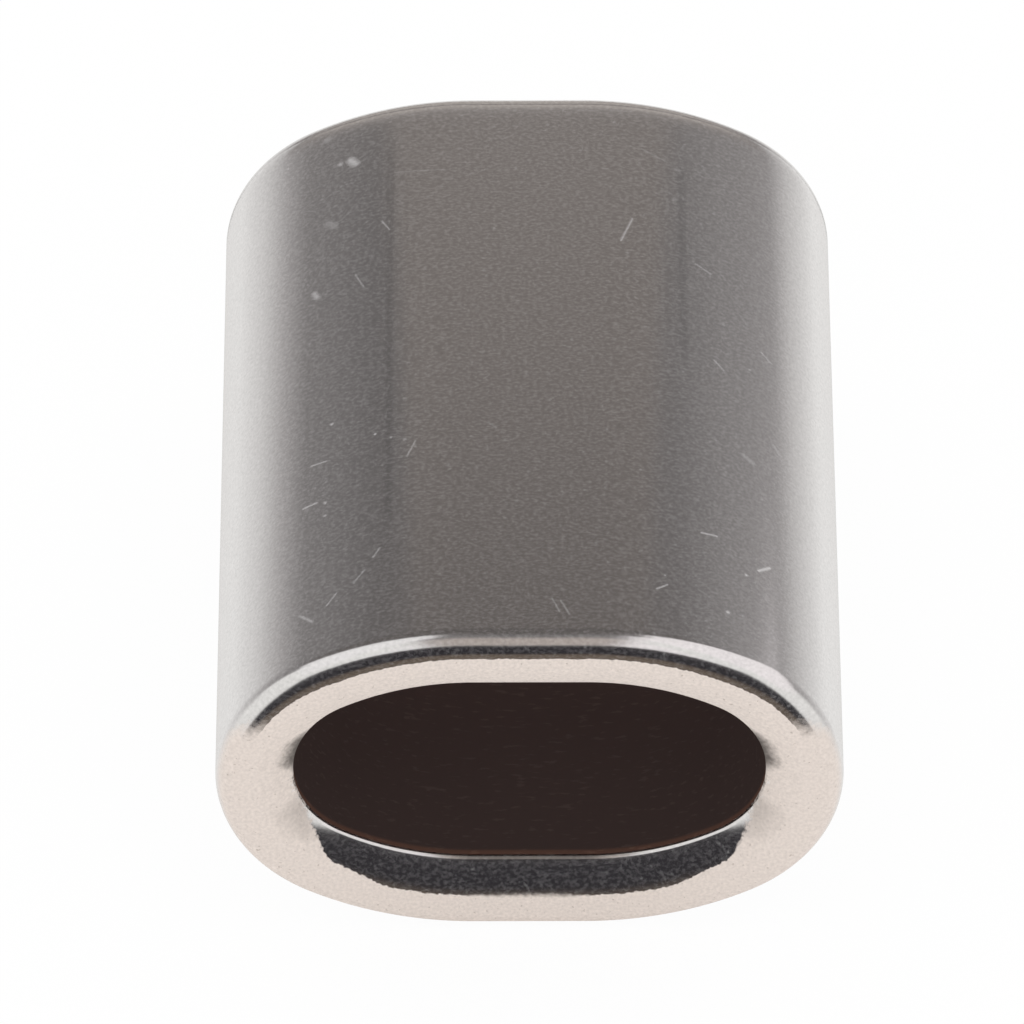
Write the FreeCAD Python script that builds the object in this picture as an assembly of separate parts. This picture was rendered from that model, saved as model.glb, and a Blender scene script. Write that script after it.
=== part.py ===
import FreeCAD, Part
import math
import os

# Oval ferrule for a wire rope: one thick sleeve with a flat-sided oval passage, which two legs
# of the rope share side by side before the sleeve is pressed onto them.
# It lies on a broad side. X runs across it, Y along the passage and Z up, in millimetres.
# The origin is on the surface that it lies on, under its middle.

passage_width = 17.6  # across both rope legs
passage_height = 8.8  # across one rope leg
passage_rise = 0.27  # by how much the passage lies nearer the upper broad side than the lower one
wall = 2.9  # at the sides, and half of the two broad walls together
length = 31.5  # from end face to end face
flat_width = 4.2  # level strip along the middle of each broad side
shoulder_drop = 0.8  # by how much the side arcs' radius falls short of half the height
edge_radius = 0.75  # rounding of the outer edge at each end
mouth_flare = 1.38  # by how much the bell mouth widens the passage at the end face
mouth_depth = 0.65  # how far the bell mouth reaches into the passage
mouth_radius = 3.45  # of the bell mouth's arc, from the end face to the passage wall
throat_radius = 0.25  # softening where the bell mouth meets the passage wall

end = length / 2
block_height = wall + passage_height / 2  # of the outside's middle
passage_middle = block_height + passage_rise
side_radius = passage_height / 2 - shoulder_drop
side_x = passage_width / 2 - side_radius
flat_x = flat_width / 2

# The crown arc starts level at the flat strip and ends tangent to the side arc.
crown_run = side_x - flat_x
crown_radius = (crown_run**2 + (passage_height / 2)**2 - side_radius**2) / (2 * shoulder_drop)
crown_drop = crown_radius - passage_height / 2
blend_angle = math.degrees(math.atan2(crown_drop, crown_run))

# The bell mouth's arc, seen in the wall's section: how far its centre lies outside the passage
# wall and behind the end face. It would turn level only at the tip, just past the end face.
mouth_chord = math.hypot(mouth_flare, mouth_depth)
mouth_rise = math.sqrt(mouth_radius**2 - mouth_chord**2 / 4)
mouth_outward = (mouth_flare + mouth_depth * mouth_rise * 2 / mouth_chord) / 2
mouth_inward = (mouth_depth + mouth_flare * mouth_rise * 2 / mouth_chord) / 2
tip = end - mouth_inward + mouth_radius


def arc(x, z, radius, start, stop, y):
    """Arc about (x, z) in the section at y, between two angles in degrees."""
    points = []
    for angle in (start, (start + stop) / 2, stop):
        turn = math.radians(angle)
        points.append(FreeCAD.Vector(x + radius * math.cos(turn), y, z + radius * math.sin(turn)))
    return Part.Arc(*points).toShape()


def strip(z, y):
    """Level line of the section at y, between the two shoulders."""
    return Part.LineSegment(FreeCAD.Vector(-flat_x, y, z), FreeCAD.Vector(flat_x, y, z)).toShape()


def outline(height, growth, y):
    """The passage's oval about this height at y, moved outwards by growth all round."""
    side = side_radius + growth
    crown = crown_radius + growth
    upper = height - crown_drop
    lower = height + crown_drop
    return Part.Wire([
        arc(side_x, height, side, -blend_angle, blend_angle, y),
        arc(flat_x, upper, crown, blend_angle, 90, y),
        strip(upper + crown, y),
        arc(-flat_x, upper, crown, 90, 180 - blend_angle, y),
        arc(-side_x, height, side, 180 - blend_angle, 180 + blend_angle, y),
        arc(-flat_x, lower, crown, 180 + blend_angle, 270, y),
        strip(lower - crown, y),
        arc(flat_x, lower, crown, 270, 360 - blend_angle, y),
    ])


def prism(height, growth, reach):
    """Solid with the oval section, reaching equally far both ways from the middle."""
    return Part.Face(outline(height, growth, -reach)).extrude(FreeCAD.Vector(0, 2 * reach, 0))


def rim_edges(shape, height, growth, reach):
    """Edges of the shape along the oval, at this distance both ways from the middle."""
    rims = [outline(height, growth, -reach), outline(height, growth, reach)]
    found = []
    for edge in shape.Edges:
        midpoint = Part.Vertex(edge.valueAt((edge.FirstParameter + edge.LastParameter) / 2))
        if min(rim.distToShape(midpoint)[0] for rim in rims) < 1e-4:
            found.append(edge)
    return found


def flared_block():
    """Block round a neck that the mouths' arcs come down to, from tip to tip."""
    neck = mouth_outward - mouth_radius
    block = prism(block_height, wall, tip).cut(prism(passage_middle, neck, tip))
    return block.makeFillet(mouth_radius, rim_edges(block, passage_middle, neck, tip))


def sleeve():
    """The block cut to its length, with its outer edges rounded."""
    cut = flared_block().common(prism(block_height, wall, end))
    return cut.makeFillet(edge_radius, rim_edges(cut, block_height, wall, end))


def ferrule():
    """The sleeve with its neck bored out to the passage, and the throats softened."""
    bored = sleeve().cut(prism(passage_middle, 0, end))
    return bored.makeFillet(throat_radius, rim_edges(bored, passage_middle, 0, end - mouth_depth))


os.makedirs("parts", exist_ok=True)
part = ferrule()
part.exportStep("parts/ferrule.step")
print("solids", len(part.Solids), "valid", part.isValid(), "volume", round(part.Volume, 1), "box", part.BoundBox)
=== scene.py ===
import math

import bmesh
import bpy
from mathutils import Matrix, Vector


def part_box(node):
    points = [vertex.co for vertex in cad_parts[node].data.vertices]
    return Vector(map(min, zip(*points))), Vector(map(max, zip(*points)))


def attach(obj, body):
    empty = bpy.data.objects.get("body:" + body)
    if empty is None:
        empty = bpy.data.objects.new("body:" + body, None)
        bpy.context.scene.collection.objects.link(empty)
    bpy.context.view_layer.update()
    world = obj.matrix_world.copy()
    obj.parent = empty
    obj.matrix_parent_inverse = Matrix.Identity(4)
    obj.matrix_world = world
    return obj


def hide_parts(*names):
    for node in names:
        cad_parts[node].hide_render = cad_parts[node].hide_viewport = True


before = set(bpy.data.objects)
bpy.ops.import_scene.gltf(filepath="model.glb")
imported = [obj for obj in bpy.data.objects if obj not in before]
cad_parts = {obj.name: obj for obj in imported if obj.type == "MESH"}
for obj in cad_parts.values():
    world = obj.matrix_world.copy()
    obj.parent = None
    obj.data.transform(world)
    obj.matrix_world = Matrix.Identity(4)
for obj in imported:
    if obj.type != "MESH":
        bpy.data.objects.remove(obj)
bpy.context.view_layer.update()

low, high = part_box("ferrule")
middle = (low + high) / 2
mm = 0.001
world = bpy.context.scene.world or bpy.data.worlds.new("Studio")
bpy.context.scene.world = world
bpy.context.scene.view_settings.view_transform = "Standard"


def addMesh(name, bm):
    mesh = bpy.data.meshes.new(name)
    bm.to_mesh(mesh)
    bm.free()
    piece = bpy.data.objects.new(name, mesh)
    bpy.context.scene.collection.objects.link(piece)
    return piece


# The sleeve: one thick wall, swept round an oval of arcs and two level strips, outside and inside.
# Sizes in millimetres, steps are how finely each stretch is divided.
sleeve = {
    "wall": 2.9,
    "passageRise": 0.27,  # the passage lies nearer the upper side
    "flatWidth": 4.2,  # level strip along each broad side
    "shoulderDrop": 0.8,  # by how much the side arcs fall short of half the height
    "edgeRadius": 0.75,
    "mouthFlare": 1.38,
    "mouthDepth": 0.65,
    "mouthRadius": 3.45,
    "throatRadius": 0.25,
    "edgeSteps": 26,
    "mouthSteps": 10,
    "throatSteps": 9,
    "outsideSteps": 24,
    "passageSteps": 20,
    "crownSteps": 26,
    "sideSteps": 84,
    "flatSteps": 6,
}
wall = sleeve["wall"] * mm
halfLength = (high.y - low.y) / 2
halfPassage = (high.z - low.z) / 2 - wall  # half the passage's height
passageMiddle = middle.z + sleeve["passageRise"] * mm
sideRadius = halfPassage - sleeve["shoulderDrop"] * mm  # of the passage, at its sides
sideX = (high.x - low.x) / 2 - wall - sideRadius
flatX = sleeve["flatWidth"] * mm / 2
crownRun = sideX - flatX
crownRadius = (crownRun**2 + halfPassage**2 - sideRadius**2) / (2 * sleeve["shoulderDrop"] * mm)
crownDrop = crownRadius - halfPassage
sideTurn = 2 * math.atan2(crownDrop, crownRun)  # of one side's arc
crownTurn = (math.pi - sideTurn) / 2
edgeRadius = sleeve["edgeRadius"] * mm
throatRadius = sleeve["throatRadius"] * mm
short = Vector((0, 0.1 * mm, 0))  # run beside each arc, which keeps the long stretch's shading straight


def runAlong(bm, vert, move, steps):
    made = bmesh.ops.spin(bm, geom=[vert], cent=(0, 0, 0), axis=(1, 0, 0), dvec=move / steps, steps=steps)
    return lastVert(made)


def turnAbout(bm, vert, centre, angle, steps):
    made = bmesh.ops.spin(bm, geom=[vert], cent=centre, axis=(1, 0, 0), angle=angle, steps=steps)
    return lastVert(made)


def lastVert(made):
    return [item for item in made["geom_last"] if isinstance(item, bmesh.types.BMVert)][0]


def outsideProfile(bm):
    # from the end face's outer border over the rounded edge to the middle of the length
    top = middle.z + halfPassage + wall
    end = middle.y + halfLength
    vert = bmesh.ops.create_vert(bm, co=(flatX, end, top - edgeRadius))["vert"][0]
    vert = turnAbout(bm, vert, (flatX, end - edgeRadius, top - edgeRadius), math.pi / 2, sleeve["edgeSteps"])
    vert = runAlong(bm, vert, -short, 2)
    runAlong(bm, vert, Vector((0, middle.y - vert.co.y, 0)), sleeve["outsideSteps"])


def passageProfile(bm):
    # from the end face's inner border down the bell mouth's arc and round the throat to the middle
    top = passageMiddle + halfPassage
    end = middle.y + halfLength
    flare = sleeve["mouthFlare"] * mm
    depth = sleeve["mouthDepth"] * mm
    radius = sleeve["mouthRadius"] * mm
    chord = math.hypot(flare, depth)
    rise = math.sqrt(radius**2 - chord**2 / 4)
    outward = (flare + depth * rise * 2 / chord) / 2  # of the arc's centre, from the passage wall
    inward = (depth + flare * rise * 2 / chord) / 2  # and from the end face
    # the throat's arc lies inside the mouth's arc and touches the passage wall
    startAngle = math.atan2(outward - flare, inward)
    throatAngle = math.asin((outward - throatRadius) / (radius - throatRadius))
    vert = bmesh.ops.create_vert(bm, co=(flatX, end, top + flare))["vert"][0]
    centre = Vector((flatX, end - inward, top + outward))
    vert = turnAbout(bm, vert, centre, startAngle - throatAngle, sleeve["mouthSteps"])
    centre += (radius - throatRadius) * Vector((0, math.cos(throatAngle), -math.sin(throatAngle)))
    vert = turnAbout(bm, vert, centre, throatAngle - math.pi / 2, sleeve["throatSteps"])
    vert = runAlong(bm, vert, -short, 2)
    runAlong(bm, vert, Vector((0, middle.y - vert.co.y, 0)), sleeve["passageSteps"])


def sweepRound(profile, height):
    # carries the half profile, mirrored to the other end, once round the oval about this height
    bm = bmesh.new()
    profile(bm)
    toMiddle = Matrix.Translation((0, -middle.y, 0))
    bmesh.ops.mirror(bm, geom=bm.verts[:] + bm.edges[:], matrix=toMiddle, merge_dist=mm / 1000, axis="Y")
    section = bm.verts[:] + bm.edges[:]
    upper = height - crownDrop
    lower = height + crownDrop
    flat = Vector((-sleeve["flatWidth"] * mm / sleeve["flatSteps"], 0, 0))
    route = (
        ((flatX, 0, upper), crownTurn, (0, 0, 0), sleeve["crownSteps"]),
        ((sideX, 0, height), sideTurn, (0, 0, 0), sleeve["sideSteps"]),
        ((flatX, 0, lower), crownTurn, (0, 0, 0), sleeve["crownSteps"]),
        ((0, 0, 0), 0, flat, sleeve["flatSteps"]),
        ((-flatX, 0, lower), crownTurn, (0, 0, 0), sleeve["crownSteps"]),
        ((-sideX, 0, height), sideTurn, (0, 0, 0), sleeve["sideSteps"]),
        ((-flatX, 0, upper), crownTurn, (0, 0, 0), sleeve["crownSteps"]),
        ((0, 0, 0), 0, -flat, sleeve["flatSteps"]),
    )
    for centre, angle, move, steps in route:
        made = bmesh.ops.spin(
            bm, geom=section, cent=centre, axis=(0, 1, 0), dvec=move, angle=angle, steps=steps)
        section = made["geom_last"]
    bmesh.ops.remove_doubles(bm, verts=bm.verts[:], dist=mm / 1000)
    swept = bpy.data.meshes.new("swept")
    bm.to_mesh(swept)
    bm.free()
    return swept


def buildSleeve():
    bm = bmesh.new()
    for profile, height in ((outsideProfile, middle.z), (passageProfile, passageMiddle)):
        bm.from_mesh(sweepRound(profile, height))
    for side in (-1, 1):
        rims = [edge for edge in bm.edges if edge.is_boundary and edge.verts[0].co.y * side > 0]
        for edge in rims:
            edge.smooth = False  # the end face stays flat up to its two borders
        bmesh.ops.triangle_fill(bm, use_beauty=True, edges=rims, normal=(0, side, 0))
    bmesh.ops.recalc_face_normals(bm, faces=bm.faces[:])
    for face in bm.faces:
        face.smooth = True
    openEdges = sum(1 for edge in bm.edges if len(edge.link_faces) != 2)
    print("sleeve:", len(bm.faces), "faces,", openEdges, "open edges,",
          round(bm.calc_volume(signed=True) / mm**3, 1), "cubic millimetres")
    return addMesh("ferrule_sleeve", bm)


class Nodes:
    # A short way to lay nodes: each call adds one and returns its first output.
    def __init__(self, tree):
        self.tree = tree

    def add(self, kind, *values, out=0, **settings):
        node = self.tree.nodes.new("ShaderNode" + kind)
        for name, value in settings.items():
            setattr(node, name, value)
        for socket, value in zip(node.inputs, values):
            self.feed(socket, value)
        return node.outputs[out]

    def feed(self, socket, value):
        if value is None:
            return
        if isinstance(value, bpy.types.NodeSocket):
            self.tree.links.new(value, socket)
        else:
            socket.default_value = value

    def math(self, operation, *values):
        return self.add("Math", *values, operation=operation)

    def vector(self, operation, *values, out=0):
        return self.add("VectorMath", *values, operation=operation, out=out)

    def step(self, value, start, stop):  # 0 before start, 1 after stop, smooth between
        return self.add("MapRange", value, start, stop, 0.0, 1.0, interpolation_type="SMOOTHSTEP")

    def mix(self, amount, first, second):
        node = self.tree.nodes.new("ShaderNodeMix")
        node.data_type = "RGBA"
        self.feed(node.inputs[0], amount)
        self.feed(node.inputs[6], first)
        self.feed(node.inputs[7], second)
        return node.outputs[2]

    def parts(self, value):  # its x, y and z
        node = self.tree.nodes.new("ShaderNodeSeparateXYZ")
        self.tree.links.new(value, node.inputs[0])
        return node.outputs

    def output(self, shader):
        self.tree.links.new(shader, self.tree.nodes.new("ShaderNodeOutputMaterial").inputs["Surface"])


# The finish, by places on the ferrule in millimetres. Bright tumbled metal outside and in the bell mouths,
# matte end faces from the cut, and a dark dull passage.
finish = {
    "metal": (0.71, 0.70, 0.68, 1),
    "roughness": 0.17,
    "grain": 8.5,  # per millimetre
    "grainTone": 0.30,
    "grainHaze": 0.07,  # light scattered by the grain, which shows where reflections are dark
    "grainHeight": 0.0011,
    "scatter": (0.92, 0.90, 0.90, 1),  # light from scratched spots
    "dotsEvery": 0.42,
    "scratchesEvery": 0.75,
    "lipBorder": 1.41,  # how far out from the passage the lower lips' smooth metal reaches
    "edgeBorder": 2.05,  # and how far in the smooth metal of the rounded edge reaches
    "endFace": (0.78, 0.70, 0.645, 1),
    "endSpeck": (0.56, 0.49, 0.44, 1),
    "bore": (0.062, 0.042, 0.037, 1),
    "boreDash": (0.078, 0.055, 0.048, 1),
    "mouthShade": (0.13, 0.115, 0.105, 1),  # painted shade beside the mouths
}
# Marks on the upper side: from x and y to x and y, half the width, and how light they are.
marks = (
    (-6.78, 12.74, -6.62, 12.48, 0.16, 0.75), (-7.22, 12.76, -7.18, 12.66, 0.10, 0.55),
    (-6.52, 12.58, -6.46, 12.36, 0.08, 0.50),
    (-8.14, 5.62, -8.02, 5.34, 0.10, 0.55), (-7.76, 14.54, -7.64, 14.30, 0.13, 0.30),
    (-7.64, 9.42, -7.40, 9.18, 0.15, 0.25), (-5.08, 11.38, -3.08, 11.18, 0.03, 0.20),
    (-5.56, 8.66, -5.28, 8.10, 0.04, 0.45), (4.00, 8.38, 3.56, 7.06, 0.045, 0.50),
    (4.40, 12.58, 5.36, 12.06, 0.04, 0.22), (5.68, 11.74, 5.84, 11.70, 0.09, 0.25),
    (5.52, 9.94, 5.68, 9.86, 0.09, 0.25), (-7.40, -2.18, -7.40, -2.42, 0.065, 0.75),
    (-5.88, -3.58, -5.64, -3.54, 0.05, 0.85), (-5.16, -3.86, -5.16, -3.98, 0.055, 0.55),
    (-4.64, -4.10, -4.64, -4.26, 0.075, 0.40), (-4.24, -4.34, -4.56, -5.14, 0.035, 0.40),
    (-8.16, -4.26, -7.60, -4.30, 0.04, 0.55), (-8.44, -6.50, -7.96, -6.46, 0.045, 0.65),
    (-7.64, -6.58, -7.60, -6.70, 0.065, 0.65), (-7.64, -7.30, -7.60, -7.42, 0.055, 0.60),
    (-5.56, -10.02, -5.80, -10.46, 0.04, 0.45), (-6.12, -11.06, -6.52, -11.62, 0.035, 0.40),
    (-7.16, -11.90, -7.52, -12.42, 0.035, 0.45), (-8.52, -12.42, -8.04, -13.02, 0.05, 0.45),
    (-6.56, 5.90, -6.24, 5.06, 0.035, 0.35), (8.08, -3.74, 8.44, -3.98, 0.095, 0.30),
    (9.24, -2.34, 9.44, -2.70, 0.055, 0.30), (6.44, -8.90, 7.00, -8.86, 0.045, 0.65),
    (8.56, -9.94, 8.96, -9.50, 0.055, 0.95), (8.04, -10.38, 8.12, -10.54, 0.065, 0.80),
    (4.72, -12.54, 5.12, -12.22, 0.04, 0.55), (5.00, -11.62, 5.08, -11.82, 0.045, 0.50),
    (7.44, -9.70, 7.68, -9.78, 0.04, 0.45), (6.40, 6.42, 6.96, 6.10, 0.035, 0.40),
    (7.04, 1.14, 7.40, 0.70, 0.035, 0.45), (8.84, 2.66, 9.20, 2.34, 0.04, 0.45),
    (8.32, 1.38, 8.48, 1.26, 0.05, 0.45), (7.36, 3.38, 7.52, 3.34, 0.055, 0.45),
    (0.84, -13.34, 1.12, -14.10, 0.03, 0.35), (1.16, -13.46, 1.48, -14.22, 0.03, 0.35),
    (7.24, -12.90, 7.48, -12.90, 0.075, 0.85), (-1.52, -3.50, -1.20, -3.82, 0.03, 0.25),
)


def markMask(nodes, flat):
    total = 0.0
    for x0, y0, x1, y1, width, level in marks:
        start = Vector((x0, y0, 0))
        run = Vector((x1, y1, 0)) - start
        if run.length < 0.3:
            reach = nodes.vector("DISTANCE", flat, start + run / 2, out=1)
        else:
            away = nodes.vector("SUBTRACT", flat, start)
            share = nodes.vector("DOT_PRODUCT", away, run / run.length_squared, out=1)
            share = nodes.math("MINIMUM", nodes.math("MAXIMUM", share, 0.0), 1.0)
            nearest = nodes.vector("MULTIPLY_ADD", run, share, start)
            reach = nodes.vector("DISTANCE", flat, nearest, out=1)
        spot = nodes.add("MapRange", reach, width * 1.6, width * 0.3, 0.0, level * 0.7)
        total = nodes.math("MAXIMUM", total, spot)
    return total


def strayScratches(nodes, flat):
    # one short scratch per cell, each at its own angle, and none in some cells
    every = finish["scratchesEvery"]
    cell = nodes.tree.nodes.new("ShaderNodeTexVoronoi")
    nodes.feed(cell.inputs["Vector"], flat)
    cell.inputs["Scale"].default_value = 1 / every
    away = nodes.vector("SUBTRACT", flat, cell.outputs["Position"])
    chance, turn, reach = nodes.parts(cell.outputs["Color"])
    turned = nodes.add("VectorRotate", away, None, None, nodes.math("MULTIPLY", turn, math.pi),
                       rotation_type="Z_AXIS")
    along, aside, _ = nodes.parts(turned)
    half = nodes.math("MULTIPLY_ADD", reach, 0.12, 0.04)
    inLength = nodes.math("LESS_THAN", nodes.math("ABSOLUTE", along), half)
    inWidth = nodes.add("MapRange", nodes.math("ABSOLUTE", aside), 0.032, 0.008, 0.0, 1.0)
    strength = nodes.add("MapRange", chance, 0.3, 1.0, 0.0, 0.13)
    return nodes.math("MULTIPLY", nodes.math("MULTIPLY", inLength, inWidth), strength)


def lightDots(nodes, place, x, y):
    # tiny light dots everywhere, denser near one corner of the upper side
    cell = nodes.tree.nodes.new("ShaderNodeTexVoronoi")
    nodes.feed(cell.inputs["Vector"], place)
    cell.inputs["Scale"].default_value = 1 / finish["dotsEvery"]
    chance = nodes.parts(cell.outputs["Color"])[0]
    dense = nodes.math("MULTIPLY", nodes.step(x, 4.6, 6.5), nodes.step(y, -1.5, -4.5))
    dot = nodes.add("MapRange", cell.outputs["Distance"], 0.20, 0.06, 0.0, 1.0)
    level = nodes.add("MapRange", nodes.math("MULTIPLY_ADD", dense, 0.35, chance), 0.55, 1.1, 0.0, 0.24)
    return nodes.math("MULTIPLY", dot, level)


def tumbledMetal(nodes, place):
    x, y, z = nodes.parts(place)
    width = nodes.math("ABSOLUTE", x)
    flat = nodes.vector("MULTIPLY", place, (1, 1, 0))
    # fine grain, level in the middle and leaning inwards towards the sides
    grain = finish["grain"]
    level = nodes.add("TexNoise", nodes.vector("MULTIPLY", place, (0.7, 1, 1)), None, grain, 2.0)
    folded = nodes.tree.nodes.new("ShaderNodeCombineXYZ")
    for socket, value in zip(folded.inputs, (width, y, z)):
        nodes.feed(socket, value)
    leaning = nodes.add("VectorRotate", folded.outputs[0], None, None, math.radians(69), rotation_type="Z_AXIS")
    leaning = nodes.add("TexNoise", nodes.vector("MULTIPLY", leaning, (0.3, 1, 1)), None, grain * 0.9, 2.0)
    outward = nodes.step(width, 5.5, 8.5)
    mixed = nodes.add("MapRange", outward, 0.0, 1.0, level, leaning)
    tone = nodes.math("MULTIPLY_ADD", level, finish["grainTone"], 1 - finish["grainTone"] / 2)
    # painted shade: the throat's metal is darker in the middle of the lower lips, where its reflection is dimmer
    throatShade = nodes.math("MULTIPLY", nodes.step(z, 3.6, 3.3), nodes.step(width, 3.4, 2.0))
    tone = nodes.math("MULTIPLY", tone, nodes.math("MULTIPLY_ADD", nodes.math("MULTIPLY", throatShade, nodes.step(z, 2.95, 3.1)), -0.55, 1.0))
    # painted shade: two faint dark lines where the middle of the upper side ends and its reflection changes
    for place0, y0, y1 in ((-5.25, -8.5, 13), (5.9, 1, 12)):
        shadeLine = nodes.step(nodes.math("ABSOLUTE", nodes.math("SUBTRACT", x, place0)), 0.24, 0.05)
        ends = nodes.math("MULTIPLY", nodes.step(y, y0 - 1, y0 + 1), nodes.step(y, y1 + 1, y1 - 1))
        tone = nodes.math("MULTIPLY", tone, nodes.math("MULTIPLY_ADD", nodes.math("MULTIPLY", shadeLine, ends), -0.12, 1.0))
    colour = nodes.vector("SCALE", finish["metal"][:3], None, None, tone)
    # the far edge droops a little before its rounding starts
    toEdge = nodes.math("MINIMUM", nodes.math("SUBTRACT", y, halfLength / mm - sleeve["edgeRadius"]), 0.0)
    droop = nodes.math("MULTIPLY", nodes.math("EXPONENT", nodes.math("DIVIDE", toEdge, 0.22)), -0.04)
    height = nodes.math("MULTIPLY_ADD", mixed, finish["grainHeight"], droop)
    bump = nodes.add("Bump", 1.0, mm, None, height)
    shine = nodes.add("BsdfGlossy", colour, finish["roughness"], None, None, bump)
    onTop = nodes.math("GREATER_THAN", z, middle.z / mm + 3)
    spots = nodes.math("MULTIPLY", markMask(nodes, flat), onTop)
    spots = nodes.math("MAXIMUM", spots, strayScratches(nodes, flat))
    spots = nodes.math("MAXIMUM", spots, lightDots(nodes, place, x, y))
    haze = nodes.add("MapRange", level, 0.46, 0.80, 0.0, finish["grainHaze"])
    spots = nodes.math("MULTIPLY_ADD", spots, 0.6, haze)
    return nodes.add("MixShader", spots, shine, nodes.add("BsdfDiffuse", finish["scatter"]))


def insideOval(nodes, x, z, height, halves):
    across = nodes.math("POWER", nodes.math("DIVIDE", x, halves[0]), 2.0)
    upright = nodes.math("DIVIDE", nodes.math("SUBTRACT", z, height / mm), halves[1])
    return nodes.math("LESS_THAN", nodes.math("MULTIPLY_ADD", upright, upright, across), 1.0)


def hypotenuse(nodes, first, second):
    squares = nodes.math("MULTIPLY_ADD", first, first, nodes.math("MULTIPLY", second, second))
    return nodes.math("SQRT", squares)


def growthOutward(nodes, width, z, height):
    # distance outward from the passage's oval about this height
    up = nodes.math("ABSOLUTE", nodes.math("SUBTRACT", z, height / mm))
    aside = nodes.math("SUBTRACT", width, sideX / mm)
    side = nodes.math("SUBTRACT", hypotenuse(nodes, aside, up), sideRadius / mm)
    run = nodes.math("MAXIMUM", nodes.math("SUBTRACT", width, flatX / mm), 0.0)
    crown = hypotenuse(nodes, run, nodes.math("ADD", up, crownDrop / mm))
    crown = nodes.math("SUBTRACT", crown, crownRadius / mm)
    onSide = nodes.math("GREATER_THAN", nodes.math("MULTIPLY", aside, crownDrop / crownRun), up)
    return nodes.add("MapRange", onSide, 0.0, 1.0, crown, side)


def steelMaterial():
    material = bpy.data.materials.new("tumbled_steel")
    material.use_nodes = True
    tree = material.node_tree
    tree.nodes.clear()
    nodes = Nodes(tree)
    place = nodes.vector("MULTIPLY", nodes.add("TexCoord", out=3), (1000, 1000, 1000))
    x, y, z = nodes.parts(place)
    fromEnd = nodes.math("SUBTRACT", halfLength / mm, nodes.math("ABSOLUTE", y))
    width = nodes.math("ABSOLUTE", x)
    rough = nodes.add("TexNoise", place, None, 6.0, 3.0)
    inside = insideOval(nodes, x, z, passageMiddle, (10.25, 5.85))

    # The end faces are matte, and so are the upper lips and the sides of the rounded edge. The lower lips are
    # smooth metal up to a ragged border, which fades at the corners.
    above = nodes.math("SUBTRACT", z, middle.z / mm)
    rag = nodes.math("SUBTRACT", rough, 0.5)
    edgeGrowth = nodes.math("MULTIPLY_ADD", rag, 0.16, growthOutward(nodes, width, z, middle.z))
    bend = nodes.math("POWER", nodes.math("DIVIDE", width, 9.3), 3.0)
    edgeBorder = nodes.math("MULTIPLY_ADD", bend, -0.09, finish["edgeBorder"])
    onEnd = nodes.step(nodes.math("SUBTRACT", edgeGrowth, edgeBorder), 0.02, -0.02)
    edgeDull = nodes.step(nodes.math("MULTIPLY_ADD", rag, 0.8, above), 3.7, 2.3)
    softEdge = nodes.step(fromEnd, nodes.math("MULTIPLY_ADD", edgeDull, 0.62, 0.001), nodes.math("MULTIPLY", edgeDull, 0.12))
    onEnd = nodes.math("MAXIMUM", onEnd, nodes.math("MULTIPLY", softEdge, edgeDull))

    lipGrowth = growthOutward(nodes, width, z, passageMiddle)
    corner = nodes.step(width, 7.3, 8.6)
    ragged = nodes.math("MULTIPLY", rag, nodes.math("MULTIPLY_ADD", corner, 0.9, 0.24))
    lipBorder = nodes.math("MULTIPLY_ADD", nodes.step(width, 5.0, 7.3), -0.34, finish["lipBorder"])
    lipBorder = nodes.math("MULTIPLY_ADD", corner, -1.15, lipBorder)
    lipBorder = nodes.math("SUBTRACT", lipBorder, nodes.math("ADD", lipGrowth, ragged))
    soft = nodes.math("ADD", nodes.math("MULTIPLY", corner, 0.20), nodes.add("MapRange", width, 2.6, 1.4, 0.03, 0.15))
    lipSmooth = nodes.step(nodes.math("DIVIDE", lipBorder, soft), -1.0, 1.0)
    lipSmooth = nodes.math("MULTIPLY", lipSmooth, nodes.math("LESS_THAN", above, 0.0))
    onEnd = nodes.math("MULTIPLY", onEnd, nodes.math("SUBTRACT", 1.0, lipSmooth))
    # painted shade: feathery dark patches beside the mouths, above and below their middle, where shade falls toward the
    # passage
    mouthShade = 0.0
    for low0, low1, high0, high1, reach, share in ((0.0, 0.9, 2.9, 1.8, 0.8, 0.95), (-3.6, -2.6, -0.6, -1.6, 1.5, 0.3)):
        band = nodes.math("MULTIPLY", nodes.step(above, low0, low1), nodes.step(above, high0, high1))
        near = nodes.math("MULTIPLY_ADD", rag, 0.5, lipGrowth)
        near = nodes.step(near, nodes.math("MULTIPLY_ADD", band, reach, 0.01), 0.0)
        mouthShade = nodes.math("MAXIMUM", mouthShade, nodes.math("MULTIPLY", nodes.math("MULTIPLY", band, near), share))
    mouthShade = nodes.math("MULTIPLY", mouthShade, nodes.step(width, 7.6, 8.6))
    speck = nodes.step(rough, 0.66, 0.74)
    tone = nodes.add("TexNoise", place, None, 8.0, 3.0)
    matteColour = nodes.vector("SCALE", nodes.mix(speck, finish["endFace"], finish["endSpeck"]), None, None,
                               nodes.math("MULTIPLY_ADD", tone, 0.42, 0.79))
    matte = nodes.add("BsdfDiffuse", nodes.mix(mouthShade, matteColour, finish["mouthShade"]), 0.3)

    # the passage, dull and dark behind the throat. Its colour grows lighter deeper in, painted light where little light
    # reaches, and is lighter and warmer just behind the lower throats.
    dash = nodes.add("TexNoise", nodes.vector("MULTIPLY", place, (0.5, 1.6, 1.6)), None, 3.5, 2.0)
    dark = nodes.mix(nodes.step(dash, 0.58, 0.72), finish["bore"], finish["boreDash"])
    nearThroat = nodes.math("MULTIPLY", nodes.step(fromEnd, 1.08, 0.88), nodes.math("LESS_THAN", above, 0.0))
    dark = nodes.vector("MULTIPLY", dark, nodes.mix(nearThroat, (0.85, 0.86, 0.90, 1), (1.7, 1.35, 1.15, 1)))
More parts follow.
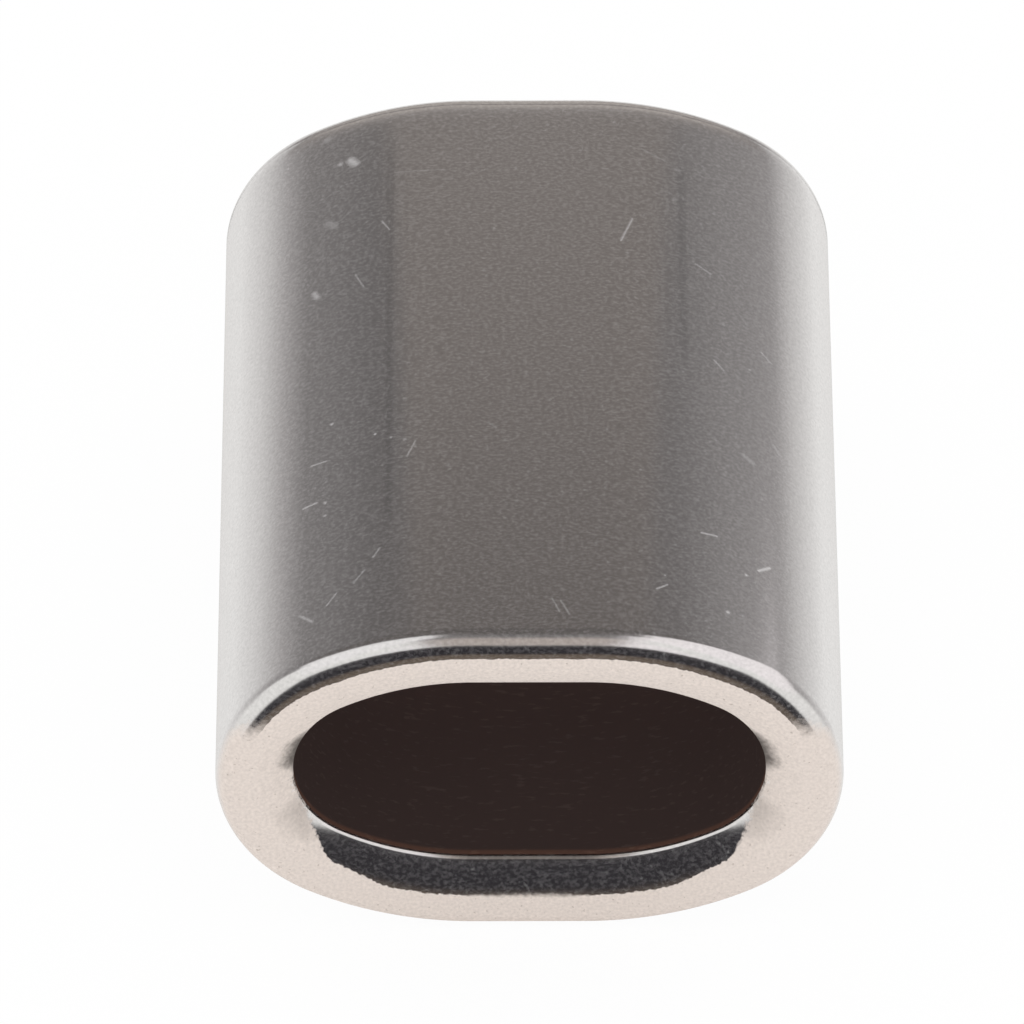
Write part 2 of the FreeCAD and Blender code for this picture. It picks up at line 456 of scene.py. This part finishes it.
    # painted light: the colour grows lighter deeper in the passage, where little light reaches
    paintedLightDeeper = nodes.math("MINIMUM", nodes.math("EXPONENT", nodes.math("DIVIDE", fromEnd, 7.5)), 4.5)
    dark = nodes.vector("SCALE", dark, None, None, paintedLightDeeper)
    deep = nodes.step(fromEnd, sleeve["mouthDepth"] + 0.07, sleeve["mouthDepth"] + 0.13)

    shown = nodes.add("MixShader", onEnd, tumbledMetal(nodes, place), matte)
    nodes.output(nodes.add("MixShader", nodes.math("MULTIPLY", inside, deep), shown, nodes.add("BsdfDiffuse", dark)))
    return material


ferrule = buildSleeve()
ferrule.data.materials.append(steelMaterial())
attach(ferrule, "root")
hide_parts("ferrule")

# The camera stands where the photograph's did.
view = {
    "elevation": 41.784,  # degrees above the floor
    "azimuth": -0.069,
    "roll": -0.079,
    "distance": 0.50988,
    "lens": 470.75,
    "aside": -0.00062,  # from the ferrule's middle, across and up in the picture
    "above": -0.00026,
}


def addCamera():
    tilt = math.radians(view["elevation"])
    turn = math.radians(view["azimuth"])
    roll = math.radians(view["roll"])
    ahead = Vector((-math.sin(turn) * math.cos(tilt), math.cos(turn) * math.cos(tilt), -math.sin(tilt)))
    level = Vector((math.cos(turn), math.sin(turn), 0))
    upright = level.cross(ahead)
    across = level * math.cos(roll) + upright * math.sin(roll)
    up = upright * math.cos(roll) - level * math.sin(roll)
    data = bpy.data.cameras.new("Camera")
    data.lens = view["lens"]
    data.sensor_width = 36
    data.clip_start = 0.01
    data.clip_end = 10
    camera = bpy.data.objects.new("Camera", data)
    bpy.context.scene.collection.objects.link(camera)
    place = middle - view["distance"] * ahead + view["aside"] * across + view["above"] * up
    camera.matrix_world = Matrix.Translation(place) @ Matrix((across, up, -ahead)).transposed().to_4x4()
    bpy.context.scene.camera = camera


addCamera()

# The studio: a white room for the camera and the floor, and a tent that only shiny surfaces see.
# The tent's glow goes by the angle round the Y axis, 0 straight up and positive to the right. Its panels
# are rectangles seen from the ferrule's middle, by the two other directions over the one that they face.
# Far ones go by the angle round the Y axis and by the distance from it, over the distance to the back.
studio = {
    "tentRadius": 0.12,
    "glow": ((-122, 1.03), (-96, 0.80), (-76, 0.47), (-60, 0.27), (-32, 0.175), (-10, 0.24), (12, 0.24),
             (32, 0.21), (46, 0.275), (78, 0.37), (92, 0.66), (122, 1.05)),
    "panels": (
        {"facing": "back", "across": (-0.42, 0.44), "along": (0.4, 3), "soft": 0.05, "colour": (0.25, 0.226, 0.218)},
        {"facing": "far", "across": (-80, 80), "along": (-1, 0.76), "soft": 0.06, "colour": (0.33, 0.305, 0.30)},
        {"facing": "far", "across": (-70, 70), "along": (-1, 0.58), "soft": 0.08, "colour": (0.5, 0.46, 0.44)},
        {"facing": "up", "across": (-1.2, 1.2), "along": (-0.1, 0.92), "soft": 0.22, "colour": (0.15, 0.137, 0.135)},
        {"facing": "up", "across": (-0.3, 0.24), "along": (-1.68, -0.42), "soft": 0.16, "colour": (0.52, 0.46, 0.43)},
        {"facing": "up", "across": (-4, -0.3), "along": (-1.78, -0.07), "soft": 0.06, "colour": (1.05, 1.03, 1.05)},
        {"facing": "up", "across": (0.24, 4), "along": (-1.78, -0.03), "soft": 0.06, "colour": (1.08, 1.03, 1.06)},
        {"facing": "left", "across": (-1.9, -0.05), "along": (-0.3, 3), "soft": 0.2, "colour": (0.98, 0.97, 0.97)},
        {"facing": "right", "across": (-1.9, -0.05), "along": (-0.3, 3), "soft": 0.2, "colour": (0.98, 0.97, 0.97)},
        {"facing": "left", "across": (-1.1, 0.25), "along": (0.8, 5), "soft": 0.06, "colour": (1.05, 1.03, 1.05)},
        {"facing": "right", "across": (-0.8, 0.82), "along": (0.3, 3), "soft": 0.06, "colour": (1.08, 1.03, 1.06)},
        {"facing": "front", "across": (-0.7, 0.7), "along": (-1.1, 0.5), "soft": 0.08, "colour": (0.045, 0.042, 0.048)},
        {"facing": "front", "across": (-0.2, 0.2), "along": (-1.1, -0.30), "soft": 0.10, "colour": (0.17, 0.135, 0.11)},
    ),
}


def panelMask(nodes, direction, panel):
    x, y, z = direction
    facing = panel["facing"]
    depth = {"up": (z, 1.0), "back": (y, 1.0), "far": (y, 1.0), "right": (x, 1.0), "left": (x, -1.0),
             "front": (y, -1.0)}[facing]
    depth = nodes.math("MULTIPLY", *depth)
    u = nodes.math("DIVIDE", y if facing in ("left", "right") else x, depth)
    v = nodes.math("DIVIDE", y if facing == "up" else z, depth)
    mask = nodes.math("GREATER_THAN", depth, 0.02)
    soft = panel["soft"]
    limits = [(u, panel["across"]), (v, panel["along"])]
    if facing == "far":
        turn = nodes.math("DEGREES", nodes.math("ARCTAN2", x, z))
        limits = [(turn, panel["across"]), (nodes.math("DIVIDE", hypotenuse(nodes, x, z), depth), panel["along"])]
    for value, (start, stop) in limits:
        rising = nodes.step(value, start - soft, start + soft)
        falling = nodes.step(value, stop + soft, stop - soft)
        mask = nodes.math("MULTIPLY", mask, nodes.math("MULTIPLY", rising, falling))
    return mask


def addTent():
    bm = bmesh.new()
    bmesh.ops.create_uvsphere(bm, u_segments=48, v_segments=24, radius=studio["tentRadius"])
    bmesh.ops.translate(bm, verts=bm.verts[:], vec=middle)
    tent = addMesh("tent", bm)
    material = bpy.data.materials.new("tent")
    material.use_nodes = True
    material.cycles.emission_sampling = "NONE"
    tree = material.node_tree
    tree.nodes.clear()
    nodes = Nodes(tree)
    place = nodes.add("TexCoord", out=3)
    direction = nodes.parts(nodes.vector("NORMALIZE", nodes.vector("SUBTRACT", place, middle)))
    turn = nodes.math("ARCTAN2", direction[0], direction[2])
    ramp = tree.nodes.new("ShaderNodeValToRGB")
    for number, (angle, level) in enumerate(studio["glow"]):
        place = angle / 360 + 0.5
        element = ramp.color_ramp.elements[number] if number < 2 else ramp.color_ramp.elements.new(place)
        element.position = place
        whiter = min(level, 1.0)
        element.color = [level * share for share in (1.0, 0.935 + 0.06 * whiter, 0.955 + 0.05 * whiter)] + [1]
    tree.links.new(nodes.math("MULTIPLY_ADD", turn, 0.5 / math.pi, 0.5), ramp.inputs[0])
    colour = ramp.outputs[0]
    for panel in studio["panels"]:
        colour = nodes.mix(panelMask(nodes, direction, panel), colour, (*panel["colour"], 1))
    nodes.output(nodes.add("Emission", colour, 1.0))
    tent.data.materials.append(material)
    for kind in ("camera", "diffuse", "transmission", "volume_scatter", "shadow"):
        setattr(tent, "visible_" + kind, False)


# White floor: it shows as white as the background and keeps a faint shadow where the ferrule lies.
floorLook = {"size": 3.0, "colour": (1, 1, 1, 1), "shadowShare": 0.05}


def addFloor():
    bm = bmesh.new()
    bmesh.ops.create_grid(bm, x_segments=1, y_segments=1, size=floorLook["size"])
    floor = addMesh("floor", bm)
    material = bpy.data.materials.new("floor")
    material.use_nodes = True
    tree = material.node_tree
    tree.nodes.clear()
    nodes = Nodes(tree)
    matte = nodes.add("BsdfDiffuse", floorLook["colour"])
    glow = nodes.add("Emission", (1, 1, 1, 1), 1.0)
    lit = nodes.add("MixShader", 1 - floorLook["shadowShare"], matte, glow)
    rays = tree.nodes.new("ShaderNodeLightPath")
    nodes.output(nodes.add("MixShader", rays.outputs["Is Camera Ray"], matte, lit))
    floor.data.materials.append(material)
    floor.visible_glossy = False


addTent()
addFloor()
world.use_nodes = True
world.node_tree.nodes["Background"].inputs["Color"].default_value = (1, 1, 1, 1)
world.node_tree.nodes["Background"].inputs["Strength"].default_value = 1.0
print("studio: tent with", len(studio["panels"]), "panels, white floor and white room")
